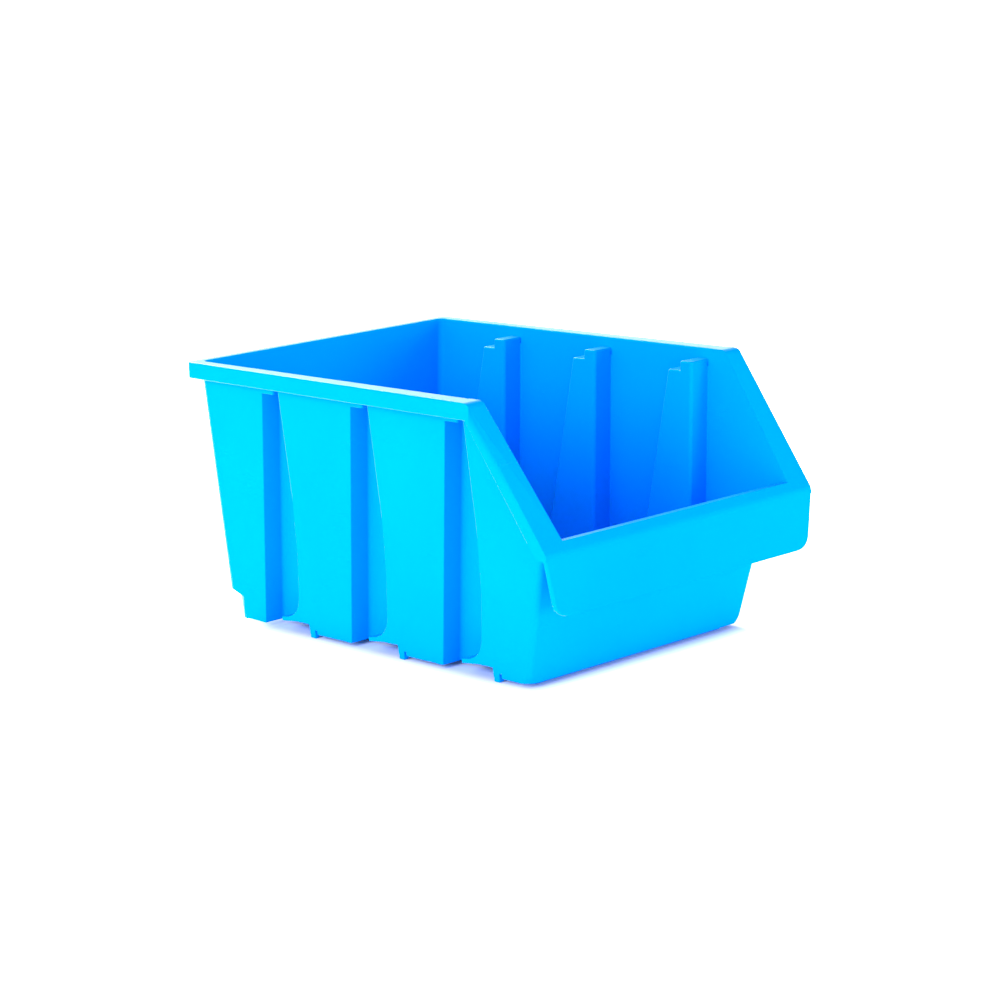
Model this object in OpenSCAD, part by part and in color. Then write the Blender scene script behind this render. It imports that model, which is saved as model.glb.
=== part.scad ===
// Stackable storage bin with an open sloped front, one polypropylene moulding.
// Millimetres, +Z up. The origin is on the ground under the middle of the outer
// box, the open front faces -Y, and left is -X.
// The moulding is drawn as its named walls, ribs, rims and feet. They meet face to face.

/* [Overall] */
// Full width over the top rim
overall_w = 170; // [166:0.5:180]
// Full length from the front apron to the rear rim
overall_l = 240; // [234:0.5:250]
// Full height from the feet to the top rim
overall_h = 126; // [122:0.5:132]

/* [Walls] */
// Thickness of walls, floor, rims and ribs
wall_t = 2; // [1.6:0.1:2.4]
// Outer half width of the tub at its lower edge
base_half_w = 67.7; // [66:0.1:69]
// Outward lean of a side wall per millimetre of height
side_draft = 0.081; // [0.07:0.001:0.09]
// Distance from the rear rim to the foot of the rear wall
rear_inset = 11.2; // [10.5:0.1:12.5]
// Height of the shelf where the rear wall steps out
rear_step_z = 13.2; // [12:0.2:16]
// Distance from the front apron to the foot of the front wall
front_inset = 31.9; // [30:0.1:34]
// Forward lean of the front wall per millimetre of height
front_lean = 0.277; // [0.25:0.001:0.3]
// Plan radius of the tub's upright corners at the front
front_corner_r = 2.6; // [2.6:0.1:5]
// Plan radius of the tub's upright corners at the rear
rear_corner_r = 5; // [3:0.5:6]

/* [Stacking ribs] */
// Spacing of the ribs along a side wall
rib_pitch = 61.7; // [60:0.1:63]
// How far a rib stands in from the wall's inner face
rib_depth = 11.4; // [10.5:0.1:12]
// Length of a rib along the wall, at its top
rib_len = 14.8; // [14:0.1:16]
// Rearward lean of a rib's rear face per millimetre of height
rib_lean = 0.166; // [0.14:0.002:0.18]
// Height of the upper ledge that carries the bin above
ledge_z = 121.3; // [120.5:0.1:122]
// How far the lower ledge lies below the upper one
ledge_step = 4.4; // [4.1:0.1:4.8]

/* [Rim] */
// Height of the rim's hanging skirt
skirt_h = 7.8; // [7:0.1:8]
// Depth of the skirt along the sloped edges
slope_skirt_h = 6.4; // [5.5:0.1:7]
// Half width of the rim at its rear end
rim_rear_half_w = 81.7; // [80.5:0.1:83]
// Distance from the front apron to the top of the sloped edge
slope_top_y = 44; // [42:0.5:46]
// Height at which the sloped edge meets the front apron
slope_foot_z = 65.8; // [64:0.1:68]
// Half width of the rim at the foot of the sloped edge
slope_foot_half_w = 83.9; // [83:0.1:84.5]
// Height of the apron's lower edge
apron_foot_z = 38.9; // [37:0.1:42]
// Half width of the apron at its lower edge
apron_foot_half_w = 79.6; // [78:0.1:81]

/* [Feet] */
// Height of the tub's lower edge above the ground
foot_h = 2; // [1.6:0.1:2.4]
// Half width of the foot rim under the floor
foot_half_w = 61; // [59:0.5:62]
// Half width of the foot rim between the ribs
foot_narrow_half_w = 50; // [48:0.5:51]
// Distance from the front wall's foot to the foot rim
foot_front_inset = 4; // [3:0.5:8]
// Length of a stacking lug along the wall
lug_len = 3.6; // [3:0.1:4.4]

/* [Hidden] */
$fn = 48;

far = 200;                       // reach of cutting prisms, past every face
front_y = -overall_l / 2;
rear_y = overall_l / 2;
rim_half_w = overall_w / 2;
base_z = foot_h;
floor_z = base_z + wall_t;       // top of the floor panel
rim_z = overall_h;
rim_foot_z = rim_z - 8;          // the wall panels end here and the rim begins
slope_y = front_y + slope_top_y;
arc_steps = 6;                   // straight segments in a quarter corner

// rear wall section
rear_base_y = rear_y - rear_inset;
step_rise = 2.2;
step_out = 6.8;
rear_low_lean = 0.2;             // how far the rear wall leans out below the shelf
rear_high_lean = 0.8;            // and above it
rear_mid_y = rear_base_y + step_out + rear_low_lean;
rear_top_y = rear_mid_y + rear_high_lean;
rear_split_y = rear_base_y - rear_corner_r - 1.4;

// front wall section: a leaning sheet that flares into the lip
front_base_y = front_y + front_inset;
flare_z = 58;
flare_lean = 1;
flare_y = front_base_y - front_lean * (flare_z - base_z);
sheet_dy = wall_t * sqrt(1 + front_lean * front_lean);
flare_dy = wall_t * sqrt(1 + flare_lean * flare_lean);
slope_foot_y = front_y + 1.2;
// where the inner faces of the leaning sheet and the flare cross
bend_up = (flare_dy - sheet_dy) / (flare_lean - front_lean);
bend_z = flare_z + bend_up;
// the lip's flat top, from the flare's inner face forward to the sloped edge
lip_z = slope_foot_z + 4.1;
lip_back_y = flare_y + flare_dy - flare_lean * (lip_z - flare_z);
// the front corners grow rounder over the last few millimetres above the ground
foot_corner_grow = 2.9;
foot_corner_h = 4.5;
front_split = front_corner_r + foot_corner_grow + 1.2;
loft_top_z = 80;

// rib section, all relative to the rib's own station
rib_front_y = -4.4;
rib_front_lean = 0.02;
rib_rear_y = rib_front_y + rib_len;
ledge_split_y = 3;
lower_ledge_z = ledge_z - ledge_step;
notch_z = base_z + ledge_step;
web_end_y = 15;                  // the web over the notch ends here
root_w = 2.2;                    // strip of wall on either side that belongs to a rib
relief_gap = 0.1;                // the cut in the wall's edge just ahead of a lug
relief_len = 1.3;
relief_h = 1.9;
rib_stations = [rib_pitch, 0, -rib_pitch];

// foot rim plan
foot_rear_inset = 6;
foot_wide_len = 14;
foot_neck_len = 8;
foot_round = 4;

// lugs hang under the wall just ahead of each notch
lug_w = 3;
lug_y = rib_front_y - 0.3;

// rim
rim_round = 5;
apron_split_z = slope_foot_z - 2.4;
apron_round = 7;
rear_rim_round = 3;
rim_split_y = rear_split_y;
slope_split_y = slope_y + 8;

function half_w(z) = base_half_w + side_draft * (z - base_z);
function front_r(z) = front_corner_r
    + foot_corner_grow * pow(max(0, 1 - (z - base_z) / foot_corner_h), 2);
function rib_front(z) = rib_front_y - rib_front_lean * (rim_foot_z - z);
function rib_rear(z) = rib_rear_y + rib_lean * (rim_foot_z - z);
function arc(cx, cy, r, a0) =
    [for (i = [0:arc_steps]) let (a = a0 + 90 * i / arc_steps)
        [cx + r * cos(a), cy + r * sin(a)]];
// rounded rectangle, anticlockwise from the right rear corner
function plan(hw, y0, y1, r) = concat(
    arc(hw - r, y1 - r, r, 0), arc(-hw + r, y1 - r, r, 90),
    arc(-hw + r, y0 + r, r, 180), arc(hw - r, y0 + r, r, 270));

// solid between two rounded rectangles [half width, front y, rear y, radius]
module loft(z0, a, z1, b) {
    p = plan(a[0], a[1], a[2], a[3]);
    q = plan(b[0], b[1], b[2], b[3]);
    n = len(p);
    polyhedron(
        points = concat([for (v = p) [v[0], v[1], z0]], [for (v = q) [v[0], v[1], z1]]),
        faces = concat([[for (i = [0:n - 1]) i]], [[for (i = [0:n - 1]) 2 * n - 1 - i]],
                       [for (i = [0:n - 1]) [i, n + i, n + (i + 1) % n, (i + 1) % n]]));
}

// prism along X of a [y, z] drawing
module along_x() {
    translate([-far, 0, 0]) rotate([90, 0, 90]) linear_extrude(2 * far) children();
}

// prism along Y of an [x, z] drawing
module along_y(y0 = -far, y1 = far) {
    translate([0, y1, 0]) rotate([90, 0, 0]) linear_extrude(y1 - y0) children();
}

// [x, z] strip of the right side wall, from in_a behind the outer face to in_b behind it
module wall_strip(in_a, in_b, z0, z1) {
    polygon([[half_w(z0) - in_a, z0], [half_w(z0) - in_b, z0],
             [half_w(z1) - in_b, z1], [half_w(z1) - in_a, z1]]);
}

// ---- outlines in the side view

module side_outline() {
    offset(r = rim_round) offset(delta = -rim_round)
        polygon([[far, rim_z], [slope_y, rim_z], [slope_foot_y, slope_foot_z],
                 [front_y, apron_foot_z], [front_y, -far], [far, -far]]);
}

module rim_band(t) {
    difference() {
        side_outline();
        offset(delta = -t) side_outline();
    }
}

// the skirt's depth in the side view, shallower along the slope
module skirt_band() {
    difference() {
        side_outline();
        intersection() {
            offset(delta = -slope_skirt_h) side_outline();
            translate([-far, -far]) square([2 * far, far + rim_z - skirt_h]);
        }
    }
}

module under_rim() {
    offset(delta = -wall_t) side_outline();
}

// what lies under the sloped edge and, between the side walls, under the lip's flat top
module under_lip() {
    intersection() {
        under_rim();
        translate([-far, -far]) square([2 * far, far + lip_z - wall_t]);
    }
}

// everything behind the front wall's corner strip, and all that stands above the lip
module behind_front() {
    cap_z = lip_z - wall_t;
    polygon([[front_base_y + front_split, -far], [front_base_y + front_split, base_z],
             [flare_y + front_split, flare_z],
             [flare_y + front_split - flare_lean * (cap_z - flare_z), cap_z],
             [-far, cap_z], [-far, far], [far, far], [far, -far]]);
}

module rib_outline(y, z0, z1, grow = 0) {
    polygon([[y + rib_front(z0) - grow, z0], [y + rib_rear(z0) + grow, z0],
             [y + rib_rear(z1) + grow, z1], [y + rib_front(z1) - grow, z1]]);
}

// the stepped top of a rib, seen from the side
module rib_step_outline(y, drop) {
    polygon([[y + rib_front_y - far, -far], [y + rib_front_y - far, ledge_z - drop],
             [y + ledge_split_y - drop, ledge_z - drop],
             [y + ledge_split_y - drop, lower_ledge_z - drop],
             [y + far, lower_ledge_z - drop], [y + far, -far]]);
}

// the groove behind a rib, on the outside of the wall and open at its foot
module groove_outline(y) {
    polygon([[y + rib_front(rim_foot_z) + wall_t, far],
             [y + rib_front(rim_foot_z) + wall_t, rim_foot_z],
             [y + rib_front(62) + wall_t, 62], [y + rib_front(40) + wall_t + 1.6, 40],
             [y - 0.2, 24], [y + 0.8, 17.3], [y + 2, 14], [y + 3.8, 11.4], [y + 6.4, 9.4],
             [y + 9.6, 8], [y + web_end_y, notch_z + 0.8], [y + web_end_y, -1],
             [y + rib_rear(-1) - wall_t, -1], [y + rib_rear(rim_foot_z) - wall_t, rim_foot_z],
             [y + rib_rear(rim_foot_z) - wall_t, far]]);
}

// the notch under a rib that drops over the ledges of the bin below
module notch_outline(y) {
    y0 = y + rib_front_y - 0.2;
    polygon([[y0, -1], [y0, notch_z], [y + ledge_split_y + 1, notch_z],
             [y + web_end_y, notch_z - 1.2], [y + web_end_y, -1]]);
}

// cuts in the walls' lower edge that free the front of each lug
module lug_reliefs() {
    for (y = rib_stations)
        along_x()
            translate([y + lug_y - lug_len - relief_gap - relief_len, -1])
                square([relief_len, 1 + base_z + relief_h]);
}

module mirrored(side) {
    mirror([side > 0 ? 0 : 1, 0, 0]) children();
}

// ---- walls

module wall_panel(side, y_front_rib, y_rear_rib) {
    // a missing rib on either side means the panel runs to the corner strip there
    mirrored(side)
        difference() {
            intersection() {
                along_y() wall_strip(0, wall_t, base_z, rim_foot_z);
                along_x() intersection() {
                    under_rim();
                    behind_front();
                    translate([-far, base_z]) square([far + rear_split_y, rim_foot_z - base_z]);
                    if (is_num(y_rear_rib))
                        polygon([[-far, base_z], [y_rear_rib + rib_front(base_z) - root_w, base_z],
                                 [y_rear_rib + rib_front(rim_foot_z) - root_w, rim_foot_z],
                                 [-far, rim_foot_z]]);
                    if (is_num(y_front_rib))
                        polygon([[far, base_z], [y_front_rib + rib_rear(base_z) + root_w, base_z],
                                 [y_front_rib + rib_rear(rim_foot_z) + root_w, rim_foot_z],
                                 [far, rim_foot_z]]);
                }
            }
            lug_reliefs();
        }
}

module rib(side, y) {
    mirrored(side)
        difference() {
            union() {
                intersection() {
                    along_y() wall_strip(0, wall_t, base_z, rim_foot_z);
                    along_x() rib_outline(y, base_z, rim_foot_z, root_w);
                }
                intersection() {
                    along_y() wall_strip(wall_t, wall_t + rib_depth, base_z, rim_z);
                    along_x() intersection() {
                        rib_outline(y, base_z, rim_z);
                        rib_step_outline(y, 0);
                    }
                }
            }
            intersection() {
                along_y() wall_strip(-1, rib_depth, 0, rim_z);
                along_x() intersection() {
                    groove_outline(y);
                    rib_step_outline(y, wall_t);
                }
            }
            intersection() {
                along_y() wall_strip(-1, rib_depth, 0, rim_z);
                along_x() notch_outline(y);
            }
            lug_reliefs();
        }
}

module front_shell(grow) {
    dy0 = grow > 0 ? sheet_dy : 0;
    dy1 = grow > 0 ? flare_dy : 0;
    zb = grow > 0 ? bend_z : flare_z;
    levels = grow > 0 ? [base_z] : [for (t = [0, 0.15, 0.4, 0.7, 1]) base_z + foot_corner_h * t];
    n = len(levels);
    for (i = [0:n - 1]) {
        z0 = levels[i];
        z1 = i < n - 1 ? levels[i + 1] : zb;
        loft(z0, front_plan(z0, grow, dy0), z1, front_plan(z1, grow, dy0));
    }
    loft(zb, front_plan(zb, grow, dy0),
         loft_top_z, [half_w(loft_top_z) - grow, flare_y + dy1 - flare_lean * (loft_top_z - flare_z),
                      0, front_corner_r - grow]);
}

// plan of the front shell at a height: half width, front y, rear y, corner radius
function front_plan(z, grow, dy) = [half_w(z) - grow, front_base_y + dy - front_lean * (z - base_z),
    0, (grow > 0 ? front_corner_r : front_r(z)) - grow];

module front_wall() {
    color("deepskyblue")
        difference() {
            front_shell(0);
            front_shell(wall_t);
            along_x() behind_front();
            along_x() difference() {
                translate([-far, -1]) square([2 * far, far]);
                under_lip();
            }
        }
}

module rear_shell(grow) {
    z1 = rear_step_z;
    z2 = rear_step_z + step_rise;
    r = rear_corner_r - grow;
    loft(base_z, [half_w(base_z) - grow, 0, rear_base_y - grow, r],
         z1 + grow, [half_w(z1 + grow) - grow, 0, rear_base_y + rear_low_lean - grow, r]);
    loft(z1 + grow, [half_w(z1 + grow) - grow, 0, rear_base_y + rear_low_lean - grow, r],
         z2 + grow / 2, [half_w(z2 + grow / 2) - grow, 0, rear_mid_y - grow, r]);
    loft(z2 + grow / 2, [half_w(z2 + grow / 2) - grow, 0, rear_mid_y - grow, r],
         rim_z, [half_w(rim_z) - grow, 0, rear_top_y - grow, r]);
}

module rear_ring(z0, z1) {
    difference() {
        intersection() {
            rear_shell(0);
            translate([-far, rear_split_y, z0]) cube([2 * far, far, z1 - z0]);
        }
        rear_shell(wall_t);
    }
}

module rear_wall() {
    color("deepskyblue") rear_ring(base_z, rim_foot_z);
}

// ---- rim

// right half of the rim's plan, drawn in by d, from the rear middle round to the front
rim_lean = (rim_half_w - rim_rear_half_w) / (rear_y - slope_y);
rim_lean_a = atan(rim_lean);
rim_arc_y = rear_y - rear_rim_round;
rim_arc_x = rim_rear_half_w + rim_lean * rear_rim_round - rear_rim_round / cos(rim_lean_a);

function rim_edge(d) = concat(
    [for (i = [arc_steps:-1:0]) let (a = rim_lean_a + (90 - rim_lean_a) * i / arc_steps)
        [rim_arc_x + (rear_rim_round - d) * cos(a), rim_arc_y + (rear_rim_round - d) * sin(a)]],
    [[rim_half_w - d, slope_y], [slope_foot_half_w - d, slope_foot_y],
     [slope_foot_half_w - d, front_y]]);

module rim_plan(d) {
    e = rim_edge(d);
    n = len(e);
    polygon(concat(e, [for (i = [n - 1:-1:0]) [-e[i][0], e[i][1]]]));
}

module rim_half_plan(d) {
    polygon(concat([[0, rear_y - d]], rim_edge(d), [[0, front_y]]));
}

module skirt_half_plan() {
    difference() {
        rim_half_plan(0);
        rim_half_plan(wall_t);
    }
}

// one side of the rim within a [y, z] window drawn by the child
module side_rim(side) {
    mirrored(side) {
        // flat flange from the wall's inner face out to the skirt
        intersection() {
            linear_extrude(far) rim_half_plan(0);
            along_x() intersection() {
                rim_band(wall_t);
                children();
            }
            along_y() polygon([[half_w(0) - wall_t, 0], [far, 0], [far, rim_z + 1],
                               [half_w(rim_z + 1) - wall_t, rim_z + 1]]);
        }
        // hanging skirt
        intersection() {
            linear_extrude(far) skirt_half_plan();
            along_x() intersection() {
                skirt_band();
                children();
            }
        }
        // wall strip between the panels and the flange
        intersection() {
            along_y() wall_strip(0, wall_t, rim_foot_z, rim_z + 1);
            along_x() intersection() {
                side_outline();
                children();
            }
        }
    }
}

module top_rim(side) {
    color("skyblue")
        side_rim(side)
            translate([slope_split_y, 0]) square([rim_split_y - slope_split_y, far]);
}

module slope_rim(side) {
    color("skyblue")
        side_rim(side)
            translate([-far, lip_z]) square([far + slope_split_y, far]);
}

module rear_rim() {
    color("skyblue") {
        intersection() {
            difference() {
                translate([0, 0, rim_z - wall_t]) linear_extrude(wall_t) rim_plan(0);
                rear_shell(wall_t);
            }
            translate([-far, rim_split_y, 0]) cube([2 * far, far, far]);
        }
        intersection() {
            translate([0, 0, rim_z - skirt_h])
                linear_extrude(skirt_h)
                    difference() {
                        rim_plan(0);
                        rim_plan(wall_t);
                    }
            translate([-far, rim_split_y, 0]) cube([2 * far, far, far]);
        }
        rear_ring(rim_foot_z, rim_z);
    }
}

module front_lip() {
    color("skyblue") {
        intersection() {
            linear_extrude(far) rim_plan(0);
            along_x() intersection() {
                rim_band(wall_t);
                translate([-far, apron_split_z]) square([far, lip_z - apron_split_z]);
            }
        }
        // flat top between the side walls
        intersection() {
            along_x() intersection() {
                side_outline();
                translate([-far, lip_z - wall_t]) square([far + lip_back_y, wall_t]);
            }
            along_y() polygon([[-half_w(lip_z - wall_t) + wall_t, lip_z - wall_t],
                               [half_w(lip_z - wall_t) - wall_t, lip_z - wall_t],
                               [half_w(lip_z) - wall_t, lip_z], [-half_w(lip_z) + wall_t, lip_z]]);
        }
        for (s = [-1, 1])
            mirrored(s)
                intersection() {
                    linear_extrude(far) skirt_half_plan();
                    along_x() intersection() {
                        skirt_band();
                        translate([-far, apron_split_z]) square([far, lip_z - apron_split_z]);
                    }
                }
    }
}

module front_apron() {
    color("skyblue")
        intersection() {
            along_x() intersection() {
                rim_band(wall_t);
                translate([-far, 0]) square([far, apron_split_z]);
            }
            along_y() union() {
                offset(r = apron_round) offset(delta = -apron_round) apron_face();
                intersection() {
                    apron_face();
                    translate([-far, apron_split_z - 12]) square([2 * far, 12]);
                }
            }
        }
}

module apron_face() {
    polygon([[-apron_foot_half_w, apron_foot_z], [apron_foot_half_w, apron_foot_z],
             [slope_foot_half_w, apron_split_z], [-slope_foot_half_w, apron_split_z]]);
}

// ---- base

module floor_panel() {
    color("steelblue")
        difference() {
            intersection() {
                floor_slab();
                front_shell_and_rear();
            }
            for (s = [-1, 1], y = rib_stations)
                mirrored(s)
                    intersection() {
                        along_y() wall_strip(-1, wall_t + rib_depth, 0, rim_z);
                        along_x() rib_outline(y, 0, rim_foot_z);
                    }
        }
}

// the front shell's outside, carried on to the rear
module front_shell_and_rear() {
    front_shell(0);
    translate([-far, -wall_t, 0]) cube([2 * far, far, far]);
}

// sharp front corners and rounded rear ones, to sit inside the walls
module floor_slab() {
    y_front = front_base_y + sheet_dy;
    y_rear = rear_base_y - wall_t;
    rear_lean = rear_low_lean / (rear_step_z + wall_t - base_z);
    intersection() {
        loft(base_z, [half_w(base_z) - wall_t, y_front, y_rear + 20, front_corner_r - wall_t],
             floor_z, [half_w(floor_z) - wall_t, y_front - front_lean * wall_t, y_rear + 20,
                       front_corner_r - wall_t]);
        loft(base_z, [half_w(base_z) - wall_t, y_front - 20, y_rear, rear_corner_r - wall_t],
             floor_z, [half_w(floor_z) - wall_t, y_front - 20, y_rear + rear_lean * wall_t,
                       rear_corner_r - wall_t]);
    }
}

module foot_rim() {
    color("steelblue")
        linear_extrude(foot_h)
            difference() {
                foot_plan(0);
                foot_plan(wall_t);
            }
}

// wide at the front and narrow between the ribs, where the notches are open to the side
module foot_plan(inset) {
    y0 = front_base_y + foot_front_inset;
    y1 = rear_base_y - foot_rear_inset;
    neck_y = y0 + foot_wide_len;
    neck_end_y = neck_y + foot_neck_len;
    offset(delta = -inset)
        offset(r = foot_round) offset(delta = -2 * foot_round) offset(r = foot_round)
            polygon([[-foot_half_w, y0], [foot_half_w, y0], [foot_half_w, neck_y],
                     [foot_narrow_half_w, neck_end_y], [foot_narrow_half_w, y1],
                     [-foot_narrow_half_w, y1], [-foot_narrow_half_w, neck_end_y],
                     [-foot_half_w, neck_y]]);
}

module stacking_lugs(side) {
    color("steelblue")
        mirrored(side)
            for (y = rib_stations)
                translate([base_half_w - lug_w, y + lug_y - lug_len, 0])
                    cube([lug_w, lug_len, foot_h]);
}

module left_wall_panel_rear() { color("deepskyblue") wall_panel(-1, rib_stations[0], undef); }
module left_wall_panel_mid_rear() {
    color("deepskyblue") wall_panel(-1, rib_stations[1], rib_stations[0]);
}
module left_wall_panel_mid_front() {
    color("deepskyblue") wall_panel(-1, rib_stations[2], rib_stations[1]);
}
module left_wall_panel_front() { color("deepskyblue") wall_panel(-1, undef, rib_stations[2]); }
module right_wall_panel_rear() { color("deepskyblue") wall_panel(1, rib_stations[0], undef); }
module right_wall_panel_mid_rear() {
    color("deepskyblue") wall_panel(1, rib_stations[1], rib_stations[0]);
}
module right_wall_panel_mid_front() {
    color("deepskyblue") wall_panel(1, rib_stations[2], rib_stations[1]);
}
module right_wall_panel_front() { color("deepskyblue") wall_panel(1, undef, rib_stations[2]); }
module left_rib_rear() { color("dodgerblue") rib(-1, rib_stations[0]); }
module left_rib_middle() { color("dodgerblue") rib(-1, rib_stations[1]); }
module left_rib_front() { color("dodgerblue") rib(-1, rib_stations[2]); }
module right_rib_rear() { color("dodgerblue") rib(1, rib_stations[0]); }
module right_rib_middle() { color("dodgerblue") rib(1, rib_stations[1]); }
module right_rib_front() { color("dodgerblue") rib(1, rib_stations[2]); }
module left_top_rim() { top_rim(-1); }
module right_top_rim() { top_rim(1); }
module left_slope_rim() { slope_rim(-1); }
module right_slope_rim() { slope_rim(1); }
module left_stacking_lugs() { stacking_lugs(-1); }
module right_stacking_lugs() { stacking_lugs(1); }

floor_panel();
foot_rim();
front_wall();
rear_wall();
left_wall_panel_rear();
left_wall_panel_mid_rear();
left_wall_panel_mid_front();
left_wall_panel_front();
right_wall_panel_rear();
right_wall_panel_mid_rear();
right_wall_panel_mid_front();
right_wall_panel_front();
left_rib_rear();
left_rib_middle();
left_rib_front();
right_rib_rear();
right_rib_middle();
right_rib_front();
left_top_rim();
right_top_rim();
rear_rim();
left_slope_rim();
right_slope_rim();
front_lip();
front_apron();
left_stacking_lugs();
right_stacking_lugs();
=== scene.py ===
import math

import bmesh
import bpy
from mathutils import Matrix, Vector
from mathutils.bvhtree import BVHTree


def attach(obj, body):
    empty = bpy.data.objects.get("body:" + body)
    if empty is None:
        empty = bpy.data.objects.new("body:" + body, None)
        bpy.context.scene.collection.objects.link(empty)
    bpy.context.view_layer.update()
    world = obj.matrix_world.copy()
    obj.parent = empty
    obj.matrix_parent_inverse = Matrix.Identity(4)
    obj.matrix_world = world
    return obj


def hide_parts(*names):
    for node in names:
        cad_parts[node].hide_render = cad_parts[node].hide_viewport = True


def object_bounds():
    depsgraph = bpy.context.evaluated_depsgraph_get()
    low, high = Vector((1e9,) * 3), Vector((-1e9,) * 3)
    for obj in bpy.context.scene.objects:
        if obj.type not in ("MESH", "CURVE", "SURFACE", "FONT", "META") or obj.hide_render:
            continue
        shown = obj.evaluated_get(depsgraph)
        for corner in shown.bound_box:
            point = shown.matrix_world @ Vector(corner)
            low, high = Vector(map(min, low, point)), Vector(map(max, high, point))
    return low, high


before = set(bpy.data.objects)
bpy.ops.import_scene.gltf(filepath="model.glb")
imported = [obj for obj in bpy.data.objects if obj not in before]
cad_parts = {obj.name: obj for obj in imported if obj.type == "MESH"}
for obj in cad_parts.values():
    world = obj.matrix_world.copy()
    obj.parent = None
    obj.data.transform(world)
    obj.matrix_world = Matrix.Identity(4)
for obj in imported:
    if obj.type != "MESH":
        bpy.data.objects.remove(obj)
cad_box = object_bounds()

MM = 0.001
RIM_NODES = ("left_top_rim", "right_top_rim", "rear_rim", "left_slope_rim", "right_slope_rim",
             "front_lip", "front_apron")

# Fillet radii of the moulding
EDGE_R = 0.6 * MM          # ordinary free edges
RIM_R = 0.9 * MM           # the 2 mm rim, rounded over almost fully
RIB_R = 1.7 * MM           # long edges of the stacking ribs inside the bin
MOUTH_R = 0.3 * MM         # edges of the grooves outside
LEDGE_R = 1.0 * MM         # the stepped top of a rib
FOOT_R = 1.4 * MM          # lower edge of the front wall
SMALLER = 0.6              # a fillet that folds or touches is tried again at this share
SMALLEST = 0.35            # the smallest share of its radius tried beside another node
THINNEST = 0.12 * MM       # a fillet below this is left out

# Which edge gets which fillet
SHARP_ANGLE = math.radians(28)  # flatter creases stay as they are
LONG_EDGE = 60 * MM
FRONT_FOOT_TOP = 8 * MM    # the front wall's foot lies below this height
LEDGE_LOW = 115.5 * MM     # a rib's stepped top lies above this height
WALL_OUTSIDE = 72 * MM     # half width that a rib's long inner edges stay within
WALL_DRAFT = 0.081         # outward lean of a side wall per unit of height

# Test whether an edge touches another node: a ray from a point just off the face
RAY = Vector((0.2137, 0.3391, 0.9161)).normalized()
RAY_STEP = 0.0005 * MM
LIFT = 0.03 * MM
SAMPLES = (0.03, 0.15, 0.35, 0.5, 0.65, 0.85, 0.97)
REACHES = (0.2, 1.0)

# Room for a fillet on the faces beside its edge
SHARED_FACE = 0.48         # share of a face's width when its far edge has a fillet too
OWN_FACE = 0.9             # share when the face's far edge has none
CROSSWISE = 0.5            # sine of the angle above which a side edge limits a fillet
PARALLEL = 0.9             # cosine above which two edges of a face run side by side
NO_LIMIT = 1.0

# Building and repairing the rounded mesh
FULL_WIDTH = 2.0 * MM      # bevel width at weight 1, above every radius
BEVEL_SEGMENTS = 4
WELD = 0.002 * MM
COPLANAR = math.radians(0.4)
STRAY = 1.4 * MM           # a vertex this far off the solid is a bevel gone wrong
FOLD_AREA = 0.1 * MM * MM  # a triangle folded over by more than this is a fault
FOLD_REACH = 1.3 * MM      # fillets this near a folded corner are made smaller
MAX_REPAIRS = 12
SMOOTH_ANGLE = math.radians(35)

# Studio: brightness of the world by direction, and of the lit table, with a painted shadow on
# the table under and around the bin
HORIZON, SKY_TOP = 1.05, 0.45
BACK_WALL, BACK_GLOW = (0.67, 0.71, 0.2), 1.8
LEFT_SIDE, LEFT_GLOW = (-0.9, 0.35, 0.15), 0.7
FRONT_SIDE, FRONT_GLOW = (0.35, -0.93, 0.1), 1.0
SKY_RISE = (0.12, 0.45)        # heights between which the horizon fades to the sky
BACK_SPREAD = (0.55, 0.9)      # cosines between which a side's glow comes in
BACK_HEIGHT = (0.25, 0.5)      # heights between which a side's glow fades out
LEFT_SPREAD = (0, 1)
FRONT_SPREAD = (0.4, 0.95)
FRONT_HEIGHT = (0.15, 0.45)
# the table's even glow, and a painted shadow: its lower glow under the bin and out to a short
# reach around its footprint
FLOOR_GLOW, PAINTED_SHADOW_GLOW = 1.05, 0.0
PAINTED_SHADOW_REACH = 22 * MM
PAINTED_SHADOW_FOOTPRINT = (0.062, 0.084, 1)
FLOOR_RADIUS = 30
FLOOR_GAP = 0.05 * MM
BIN_FOOT = (0, 0, 0.05)
FRONT_FOOT = (0, 0, 0.06)

# Camera
AZIMUTH, ELEVATION, ROLL = (math.radians(v) for v in (-43.14, 11.95, -2.50))
CAMERA_PLACE = Vector((-0.8953, -0.9585, 0.3378))
SENSOR_WIDTH, LENS = 36, 104.8

# Pigment of the plastic, as linear colours
PIGMENT = (0.0, 0.30, 0.95, 1)
PIGMENT_DEEP = (0.0, 0.285, 0.93, 1)
PIGMENT_SCUFFED = (0.005, 0.33, 0.96, 1)
SCUFF_TINT = 0.35          # how far a scuff takes on its own colour
PLASTIC_IOR = 1.49
SHINE_TINT = (0.0, 0.55, 1.0, 1)
SATIN = (0.30, 0.38)       # roughness, from cloud to cloud
SCUFF_DULL = 0.14          # roughness that a scuff adds
GLANCING = (0.5, 0.8)      # Facing values between which the shine comes in
GLANCING_SHINE = 0.6
GRAIN_SCALE, CLOUD_SCALE, WAVE_SCALE, SCUFF_SCALE = 2600, 14, 22, 60
SCUFF_STRETCH, SCUFF_TURN = (1, 1, 9), (0.3, 0.2, 0.5)
WAVE_STRENGTH, WAVE_DEPTH = 0.25, 0.25 * MM
GRAIN_STRENGTH, GRAIN_DEPTH = 0.12, 0.03 * MM


# ---- camera, light and floor

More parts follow.
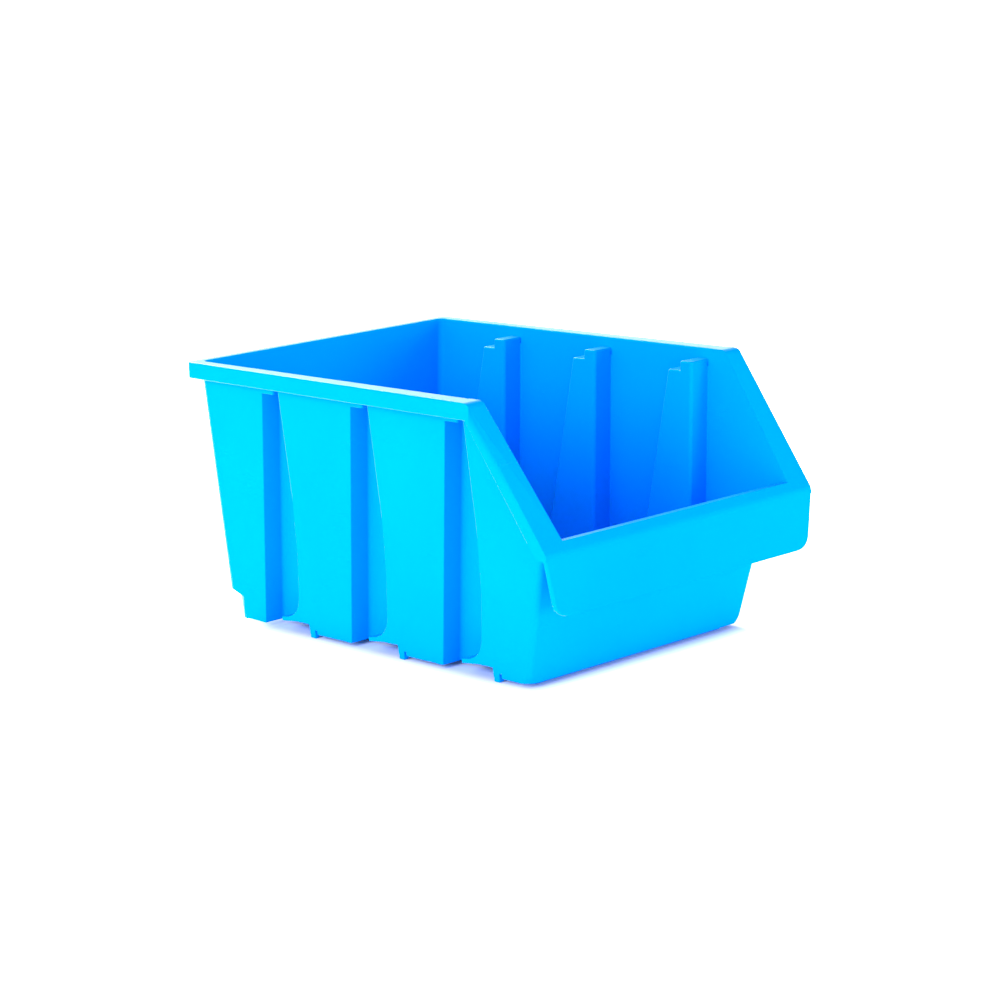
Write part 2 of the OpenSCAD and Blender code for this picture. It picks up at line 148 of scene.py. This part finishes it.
def add_camera():
    back = Vector((math.sin(AZIMUTH) * math.cos(ELEVATION),
                   -math.cos(AZIMUTH) * math.cos(ELEVATION), math.sin(ELEVATION)))
    right = Vector((math.cos(AZIMUTH), math.sin(AZIMUTH), 0))
    up = back.cross(right)
    right, up = (right * math.cos(ROLL) + up * math.sin(ROLL),
                 up * math.cos(ROLL) - right * math.sin(ROLL))
    camera = bpy.data.objects.new("camera", bpy.data.cameras.new("camera"))
    bpy.context.collection.objects.link(camera)
    place = Matrix((right, up, back)).transposed().to_4x4()
    place.translation = CAMERA_PLACE
    camera.matrix_world = place
    camera.data.sensor_width = SENSOR_WIDTH
    camera.data.lens = LENS
    bpy.context.scene.camera = camera


def node(tree, kind, **values):
    """A new shader node; keys are attributes, or input names with _ for a space."""
    n = tree.nodes.new(kind)
    for key, value in values.items():
        if hasattr(n, key):
            setattr(n, key, value)
        else:
            n.inputs[key.replace("_", " ")].default_value = value
    return n


def remap(tree, value, low, high, to_low, to_high, interpolation="LINEAR"):
    """A value's range low to high, mapped onto to_low to to_high."""
    n = node(tree, "ShaderNodeMapRange", interpolation_type=interpolation)
    for name, number in (("From Min", low), ("From Max", high),
                         ("To Min", to_low), ("To Max", to_high)):
        n.inputs[name].default_value = number
    tree.links.new(value, n.inputs["Value"])
    return n.outputs["Result"]


def add_world():
    """A white studio: bright behind the bin near the horizon, softer overhead."""
    world = bpy.data.worlds.new("studio")
    bpy.context.scene.world = world
    world.use_nodes = True
    tree = world.node_tree
    link = tree.links.new
    background = tree.nodes["Background"]
    background.inputs["Color"].default_value = (1, 1, 1, 1)
    place = node(tree, "ShaderNodeTexCoord")
    axes = node(tree, "ShaderNodeSeparateXYZ")
    link(place.outputs["Generated"], axes.inputs[0])

    def ramp(value, low, high, to_low, to_high):
        return remap(tree, value, low, high, to_low, to_high, "SMOOTHSTEP")

    def toward(direction):
        n = node(tree, "ShaderNodeVectorMath", operation="DOT_PRODUCT")
        n.inputs[1].default_value = Vector(direction).normalized()
        link(place.outputs["Generated"], n.inputs[0])
        return n.outputs["Value"]

    def combine(kind, first, second):
        n = node(tree, "ShaderNodeMath", operation=kind)
        link(first, n.inputs[0])
        link(second, n.inputs[1])
        return n.outputs[0]

    sky = ramp(axes.outputs["Z"], *SKY_RISE, HORIZON, SKY_TOP)
    wall = ramp(toward(BACK_WALL), *BACK_SPREAD, 0, BACK_GLOW)
    low_wall = combine("MULTIPLY", wall, ramp(axes.outputs["Z"], *BACK_HEIGHT, 1, 0))
    left = ramp(toward(LEFT_SIDE), *LEFT_SPREAD, 0, LEFT_GLOW)
    front = ramp(toward(FRONT_SIDE), *FRONT_SPREAD, 0, FRONT_GLOW)
    low_front = combine("MULTIPLY", front, ramp(axes.outputs["Z"], *FRONT_HEIGHT, 1, 0))
    studio = combine("ADD", combine("ADD", sky, low_wall), combine("ADD", left, low_front))
    link(studio, background.inputs["Strength"])


def add_area(name, place, target, size, power):
    light = bpy.data.objects.new(name, bpy.data.lights.new(name, "AREA"))
    bpy.context.collection.objects.link(light)
    light.data.shape = "DISK"
    light.data.size = size
    light.data.energy = power
    light.location = place
    light.rotation_euler = (Vector(target) - Vector(place)).to_track_quat("-Z", "Y").to_euler()


def add_floor():
    bm = bmesh.new()
    bmesh.ops.create_circle(bm, cap_ends=True, segments=64, radius=FLOOR_RADIUS)
    mesh = bpy.data.meshes.new("floor")
    bm.to_mesh(mesh)
    bm.free()
    floor = bpy.data.objects.new("floor", mesh)
    bpy.context.collection.objects.link(floor)
    floor.location.z = cad_box[0][2] - FLOOR_GAP
    material = bpy.data.materials.new("studio_floor")
    material.use_nodes = True
    shader = material.node_tree.nodes["Principled BSDF"]
    shader.inputs["Base Color"].default_value = (0.9, 0.9, 0.9, 1)
    shader.inputs["Roughness"].default_value = 0.9
    shader.inputs["Specular IOR Level"].default_value = 0
    shader.inputs["Emission Color"].default_value = (1, 1, 1, 1)
    # painted shadow: the lit table's glow fades to nothing under the bin and over a short
    # reach around its footprint, where no light reaches it
    tree = material.node_tree
    place = node(tree, "ShaderNodeTexCoord")
    shrink = node(tree, "ShaderNodeVectorMath", operation="ABSOLUTE")
    tree.links.new(place.outputs["Object"], shrink.inputs[0])
    beyond = node(tree, "ShaderNodeVectorMath", operation="SUBTRACT")
    beyond.inputs[1].default_value = PAINTED_SHADOW_FOOTPRINT
    tree.links.new(shrink.outputs[0], beyond.inputs[0])
    outside = node(tree, "ShaderNodeVectorMath", operation="MAXIMUM")
    outside.inputs[1].default_value = (0, 0, 0)
    tree.links.new(beyond.outputs[0], outside.inputs[0])
    distance = node(tree, "ShaderNodeVectorMath", operation="LENGTH")
    tree.links.new(outside.outputs[0], distance.inputs[0])
    floor_glow_with_painted_shadow = remap(tree, distance.outputs["Value"], 0, PAINTED_SHADOW_REACH, PAINTED_SHADOW_GLOW, FLOOR_GLOW,
                 "SMOOTHSTEP")
    tree.links.new(floor_glow_with_painted_shadow, shader.inputs["Emission Strength"])
    mesh.materials.append(material)


# ---- material

def polypropylene():
    """Moulded blue polypropylene: fine spark-eroded grain, slow waviness, faint scuffs."""
    material = bpy.data.materials.new("blue_polypropylene")
    material.use_nodes = True
    tree = material.node_tree
    link = tree.links.new
    shader = tree.nodes["Principled BSDF"]
    shader.inputs["IOR"].default_value = PLASTIC_IOR
    shader.inputs["Specular Tint"].default_value = SHINE_TINT
    place = node(tree, "ShaderNodeTexCoord")

    def noise(scale, detail, rough=0.5, stretch=None):
        n = node(tree, "ShaderNodeTexNoise")
        n.inputs["Scale"].default_value = scale
        n.inputs["Detail"].default_value = detail
        n.inputs["Roughness"].default_value = rough
        if stretch:
            mapping = node(tree, "ShaderNodeMapping")
            mapping.inputs["Scale"].default_value = stretch
            mapping.inputs["Rotation"].default_value = SCUFF_TURN
            link(place.outputs["Object"], mapping.inputs["Vector"])
            link(mapping.outputs["Vector"], n.inputs["Vector"])
        else:
            link(place.outputs["Object"], n.inputs["Vector"])
        return n.outputs["Fac"]

    def spread(value, low, high, to_low, to_high):
        return remap(tree, value, low, high, to_low, to_high)

    grain = noise(GRAIN_SCALE, 2)
    clouds = noise(CLOUD_SCALE, 3)
    waves = noise(WAVE_SCALE, 1)
    scuffs = noise(SCUFF_SCALE, 6, 0.7, stretch=SCUFF_STRETCH)

    # colour: pigment swirls, and scuffs that scatter a little more light
    pigment = node(tree, "ShaderNodeMix", data_type="RGBA")
    pigment.inputs[6].default_value = PIGMENT_DEEP
    pigment.inputs[7].default_value = PIGMENT
    link(spread(clouds, 0.35, 0.65, 0, 1), pigment.inputs[0])
    scuffed = node(tree, "ShaderNodeMix", data_type="RGBA")
    scuffed.inputs[7].default_value = PIGMENT_SCUFFED
    link(pigment.outputs[2], scuffed.inputs[6])
    link(spread(scuffs, 0.66, 0.78, 0, SCUFF_TINT), scuffed.inputs[0])
    link(scuffed.outputs[2], shader.inputs["Base Color"])

    # gloss: satin, broken up by the grain and dulled by the scuffs
    gloss = node(tree, "ShaderNodeMath", operation="ADD")
    link(spread(clouds, 0.3, 0.7, *SATIN), gloss.inputs[0])
    link(spread(scuffs, 0.62, 0.8, 0, SCUFF_DULL), gloss.inputs[1])
    link(gloss.outputs[0], shader.inputs["Roughness"])

    # shine: none face on, more at a glancing angle
    facing = node(tree, "ShaderNodeLayerWeight", Blend=0.5)
    link(spread(facing.outputs["Facing"], *GLANCING, 0, GLANCING_SHINE),
         shader.inputs["Specular IOR Level"])

    # relief
    wave_bump = node(tree, "ShaderNodeBump")
    wave_bump.inputs["Strength"].default_value = WAVE_STRENGTH
    wave_bump.inputs["Distance"].default_value = WAVE_DEPTH
    link(waves, wave_bump.inputs["Height"])
    grain_bump = node(tree, "ShaderNodeBump")
    grain_bump.inputs["Strength"].default_value = GRAIN_STRENGTH
    grain_bump.inputs["Distance"].default_value = GRAIN_DEPTH
    link(grain, grain_bump.inputs["Height"])
    link(wave_bump.outputs["Normal"], grain_bump.inputs["Normal"])
    link(grain_bump.outputs["Normal"], shader.inputs["Normal"])
    return material


# ---- moulded pieces: each CAD solid with its true outer edges rounded

def clean_mesh(obj):
    """The CAD solid as a bmesh with its coplanar triangles joined into whole faces."""
    bm = bmesh.new()
    bm.from_mesh(obj.data)
    bm.edges.layers.float.new("bevel_weight_edge")
    bmesh.ops.remove_doubles(bm, verts=bm.verts, dist=WELD)
    bmesh.ops.dissolve_limit(bm, angle_limit=COPLANAR, verts=bm.verts, edges=bm.edges)
    bmesh.ops.recalc_face_normals(bm, faces=bm.faces)
    return bm


class Neighbours:
    """Says whether a point lies in the plastic of any node but one."""

    def __init__(self, solids):
        self.trees = {name: BVHTree.FromBMesh(bm) for name, bm in solids.items()}
        self.boxes = {name: mesh_box(bm) for name, bm in solids.items()}

    def covers(self, point, own):
        for name, tree in self.trees.items():
            low, high = self.boxes[name]
            if name != own and all(low[i] < point[i] < high[i] for i in range(3)):
                if self.crossings(tree, point) % 2:
                    return True
        return False

    @staticmethod
    def crossings(tree, point):
        count = 0
        while True:
            hit = tree.ray_cast(point, RAY)
            if hit[0] is None:
                return count
            count += 1
            point = hit[0] + RAY * RAY_STEP


def mesh_box(bm):
    """Lowest and highest corner of a mesh."""
    values = [[v.co[axis] for v in bm.verts] for axis in range(3)]
    return [min(v) for v in values], [max(v) for v in values]


def into_face(edge, face):
    """Direction across a face, square to one of its edges."""
    for loop in face.loops:
        if loop.edge == edge:
            along = loop.link_loop_next.vert.co - loop.vert.co
            return face.normal.cross(along).normalized()


def free_radius(edge, own, wanted, neighbours):
    """The largest fillet that stays clear of every face where another node touches."""
    a, b = (v.co for v in edge.verts)
    sides = [(into_face(edge, face), face.normal) for face in edge.link_faces]
    for radius in (wanted, SMALLER * wanted, SMALLEST * wanted):
        for t in SAMPLES:
            point = a.lerp(b, t)
            if any(neighbours.covers(point + across * reach * radius + normal * LIFT, own)
                   for across, normal in sides for reach in REACHES):
                break
        else:
            return radius
    return 0


def wanted_radius(edge, name):
    """The fillet that the moulding has on a free edge of a node."""
    a, b = (v.co for v in edge.verts)
    top = max(a.z, b.z)
    if name == "front_lip" and abs(a.x - b.x) > LONG_EDGE:
        return EDGE_R
    if name in RIM_NODES:
        return RIM_R
    if name == "front_wall" and top < FRONT_FOOT_TOP:
        return FOOT_R
    if "_rib_" in name:
        outermost = max(abs(a.x), abs(b.x))
        if top < LEDGE_LOW and outermost > wall_x(top):
            return MOUTH_R
        if outermost < WALL_OUTSIDE and edge.calc_length() > LONG_EDGE:
            return RIB_R
        return LEDGE_R if top > LEDGE_LOW else EDGE_R
    return EDGE_R


def wall_x(z):
    """Middle of the side wall's sheet at a height."""
    low, high = mesh_box(solids["right_wall_panel_mid_front"])
    return high[0] - (high[2] - z) * WALL_DRAFT - MM


def room(edge, radii):
    """The largest radius that the faces beside an edge can take."""
    limit = NO_LIMIT
    a, b = (v.co for v in edge.verts)
    along = (b - a).normalized()
    for face in edge.link_faces:
        for other in face.edges:
            if other == edge:
                continue
            c, d = (v.co for v in other.verts)
            direction = (d - c).normalized()
            shared = set(edge.verts) & set(other.verts)
            if shared:
                sine = along.cross(direction).length
                if sine > CROSSWISE:
                    met = other in radii or len(other.verts[0].link_edges) > 2
                    share = SHARED_FACE if met else OWN_FACE
                    limit = min(limit, share * other.calc_length() * sine)
            elif abs(along.dot(direction)) > PARALLEL and other in radii:
                offset = (c - a) - along * (c - a).dot(along)
                reach = [(v - a).dot(along) for v in (c, d)]
                if max(reach) > 0 and min(reach) < (b - a).length:
                    limit = min(limit, SHARED_FACE * offset.length)
    return limit


def bevelled(bm, widths, name):
    """The piece's mesh with the given fillets, and the points where they went wrong:
    vertices thrown off the solid, and corners of triangles that are folded over."""
    weight = bm.edges.layers.float["bevel_weight_edge"]
    for edge in bm.edges:
        edge[weight] = widths.get(edge, 0) / FULL_WIDTH
    mesh = bpy.data.meshes.new(name + "_sharp")
    bm.to_mesh(mesh)
    piece = bpy.data.objects.new(name + "_sharp", mesh)
    bpy.context.collection.objects.link(piece)
    bevel = piece.modifiers.new("fillets", "BEVEL")
    bevel.width = FULL_WIDTH
    bevel.offset_type = "OFFSET"
    bevel.segments = BEVEL_SEGMENTS
    bevel.limit_method = "WEIGHT"
    bevel.use_clamp_overlap = False
    bevel.miter_outer = "MITER_SHARP"
    depsgraph = bpy.context.evaluated_depsgraph_get()
    rounded = bpy.data.meshes.new_from_object(piece.evaluated_get(depsgraph))
    bpy.data.objects.remove(piece)
    bpy.data.meshes.remove(mesh)
    tree = BVHTree.FromBMesh(bm)
    stray = [v.co.copy() for v in rounded.vertices if tree.find_nearest(v.co)[3] > STRAY]
    folded = []
    rounded.calc_loop_triangles()
    for triangle in rounded.loop_triangles:
        corners = [rounded.vertices[i].co.copy() for i in triangle.vertices]
        area = (corners[1] - corners[0]).cross(corners[2] - corners[0]) / 2
        if area.dot(rounded.polygons[triangle.polygon_index].normal) < -FOLD_AREA:
            folded.extend(corners)
    return rounded, stray, folded


def distance_to(edge, point):
    a, b = (v.co for v in edge.verts)
    t = max(0, min(1, (point - a).dot(b - a) / (b - a).length_squared))
    return (a.lerp(b, t) - point).length


def moulded(name, bm, neighbours, material):
    """A piece for one node: its bare edges rounded, its faces toward other nodes kept."""
    radii = {}
    for edge in bm.edges:
        if len(edge.link_faces) == 2 and edge.calc_face_angle(0) > SHARP_ANGLE:
            radius = free_radius(edge, name, wanted_radius(edge, name), neighbours)
            if radius:
                radii[edge] = radius
    widths = {edge: min(radius, room(edge, radii)) for edge, radius in radii.items()}
    for _ in range(MAX_REPAIRS):
        mesh, stray, folded = bevelled(bm, widths, name)
        if not stray and not folded:
            break
        for point in stray:
            nearest = min(widths, key=lambda edge: distance_to(edge, point), default=None)
            if nearest:
                del widths[nearest]
        tight = {edge for edge in widths for point in folded
                 if distance_to(edge, point) < FOLD_REACH}
        for edge in tight:
            widths[edge] *= SMALLER
            if widths[edge] < THINNEST:
                del widths[edge]
    low, high = mesh_box(bm)
    for vertex in mesh.vertices:
        vertex.co = [max(low[i], min(high[i], vertex.co[i])) for i in range(3)]
    mesh.name = name + "_moulding"
    mesh.materials.clear()
    mesh.materials.append(material)
    mesh.shade_smooth()
    mesh.set_sharp_from_angle(angle=SMOOTH_ANGLE)
    piece = bpy.data.objects.new(name + "_moulding", mesh)
    bpy.context.collection.objects.link(piece)
    normals = piece.modifiers.new("flat_faces", "WEIGHTED_NORMAL")
    normals.keep_sharp = True
    normals.weight = 100
    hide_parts(name)
    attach(piece, "root")


add_camera()
add_world()
add_area("key_left", (-1.6, -0.2, 0.7), BIN_FOOT, size=0.8, power=19)
add_area("back_top", (0.4, 1.5, 1.2), BIN_FOOT, size=0.9, power=50)
add_area("front_low", (0.5, -1.8, 0.27), FRONT_FOOT, size=0.5, power=13)
add_floor()
plastic = polypropylene()
solids = {name: clean_mesh(obj) for name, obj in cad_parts.items()}
neighbours = Neighbours(solids)
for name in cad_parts:
    moulded(name, solids[name], neighbours, plastic)

bpy.context.scene.view_settings.view_transform = "Standard"
